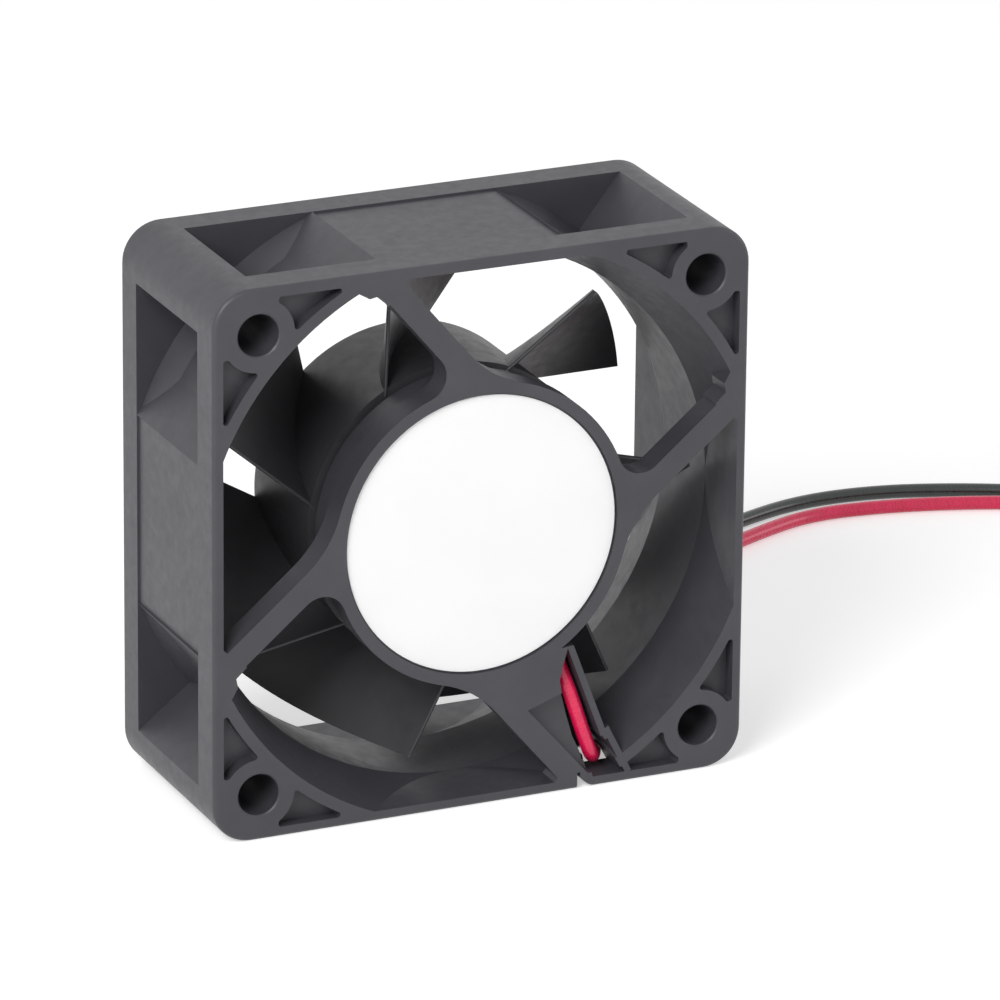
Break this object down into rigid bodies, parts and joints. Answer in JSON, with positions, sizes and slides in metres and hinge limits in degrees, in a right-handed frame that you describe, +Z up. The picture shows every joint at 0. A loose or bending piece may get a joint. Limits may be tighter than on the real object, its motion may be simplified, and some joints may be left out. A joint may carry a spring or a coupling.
{
  "type": "axial cooling fan",
  "caption": "Square axial cooling fan for a server, with a brushless motor, curved blades, slanted arms, screw holes in the corners and two flying leads to a small connector.",
  "frame": {"origin": "on the surface that the fan stands on, under the middle of its square body", "axes": "+Z up, +X to the right seen from the front, +Y from the front face to the back along the rotor's axis"},
  "size_m": [0.1573, 0.0862, 0.06],
  "materials": {
    "frame_plastic": "satin moulded black plastic",
    "impeller_plastic": "satin moulded black plastic",
    "label_film": "bare white film",
    "tube_brass": "turned brass",
    "bearing_steel": "ground steel",
    "cage_plastic": "natural nylon",
    "shaft_steel": "ground steel",
    "yoke_steel": "plated steel",
    "magnet_rubber": "dark magnetic rubber",
    "core_steel": "stamped electrical sheet",
    "insulator_plastic": "natural plastic",
    "enamelled_wire": "enamelled copper wire",
    "board_laminate": "green coated laminate",
    "chip_plastic": "black moulding compound",
    "tinned_metal": "tinned metal",
    "capacitor_ceramic": "fired ceramic",
    "red_insulation": "glossy red insulation",
    "black_insulation": "glossy black insulation",
    "plug_plastic": "natural nylon"
  },
  "bodies": {
    "frame_body": {"housing": "frame_plastic", "label": "label_film", "bearing_tube": "tube_brass", "stator_sheets": "core_steel", "insulator_front": "insulator_plastic", "insulator_rear": "insulator_plastic", "winding_right": "enamelled_wire", "winding_top": "enamelled_wire", "winding_left": "enamelled_wire", "winding_bottom": "enamelled_wire", "winding_pins": "tinned_metal", "circuit_board": "board_laminate", "driver_ic": "chip_plastic", "driver_ic_legs": "tinned_metal", "capacitor": "capacitor_ceramic", "diode": "chip_plastic", "resistors": "chip_plastic", "solder_joints": "tinned_metal", "red_lead": "red_insulation", "red_lead_end": "red_insulation", "black_lead": "black_insulation", "black_lead_end": "black_insulation", "lead_coil": "black_insulation", "connector_housing": "plug_plastic", "connector_terminals": "tinned_metal", "front_bearing_outer_ring": "bearing_steel", "front_bearing_shields": "bearing_steel", "rear_bearing_outer_ring": "bearing_steel", "rear_bearing_shields": "bearing_steel"},
    "rotor": {"shaft": "shaft_steel", "shaft_clip": "shaft_steel", "preload_spring": "shaft_steel", "rotor_bush": "tube_brass", "rotor_yoke": "yoke_steel", "magnet_ring": "magnet_rubber", "impeller": "impeller_plastic", "front_bearing_inner_ring": "bearing_steel", "rear_bearing_inner_ring": "bearing_steel"},
    "front_ball_set": {"front_bearing_balls": "bearing_steel", "front_bearing_cage": "cage_plastic"},
    "rear_ball_set": {"rear_bearing_balls": "bearing_steel", "rear_bearing_cage": "cage_plastic"}
  },
  "joints": [
    {"name": "rotor_spin", "type": "hinge", "parent": "frame_body", "child": "rotor", "pos_m": [0, 0, 0.03], "axis": [0, 1, 0], "continuous": true},
    {"name": "front_cage_spin", "type": "hinge", "parent": "frame_body", "child": "front_ball_set", "pos_m": [0, 0, 0.03], "axis": [0, 1, 0], "continuous": true},
    {"name": "rear_cage_spin", "type": "hinge", "parent": "frame_body", "child": "rear_ball_set", "pos_m": [0, 0, 0.03], "axis": [0, 1, 0], "continuous": true}
  ],
  "couplings": [
    {"joint": "front_cage_spin", "follows": "rotor_spin", "ratio": 0.369},
    {"joint": "rear_cage_spin", "follows": "rotor_spin", "ratio": 0.369}
  ]
}
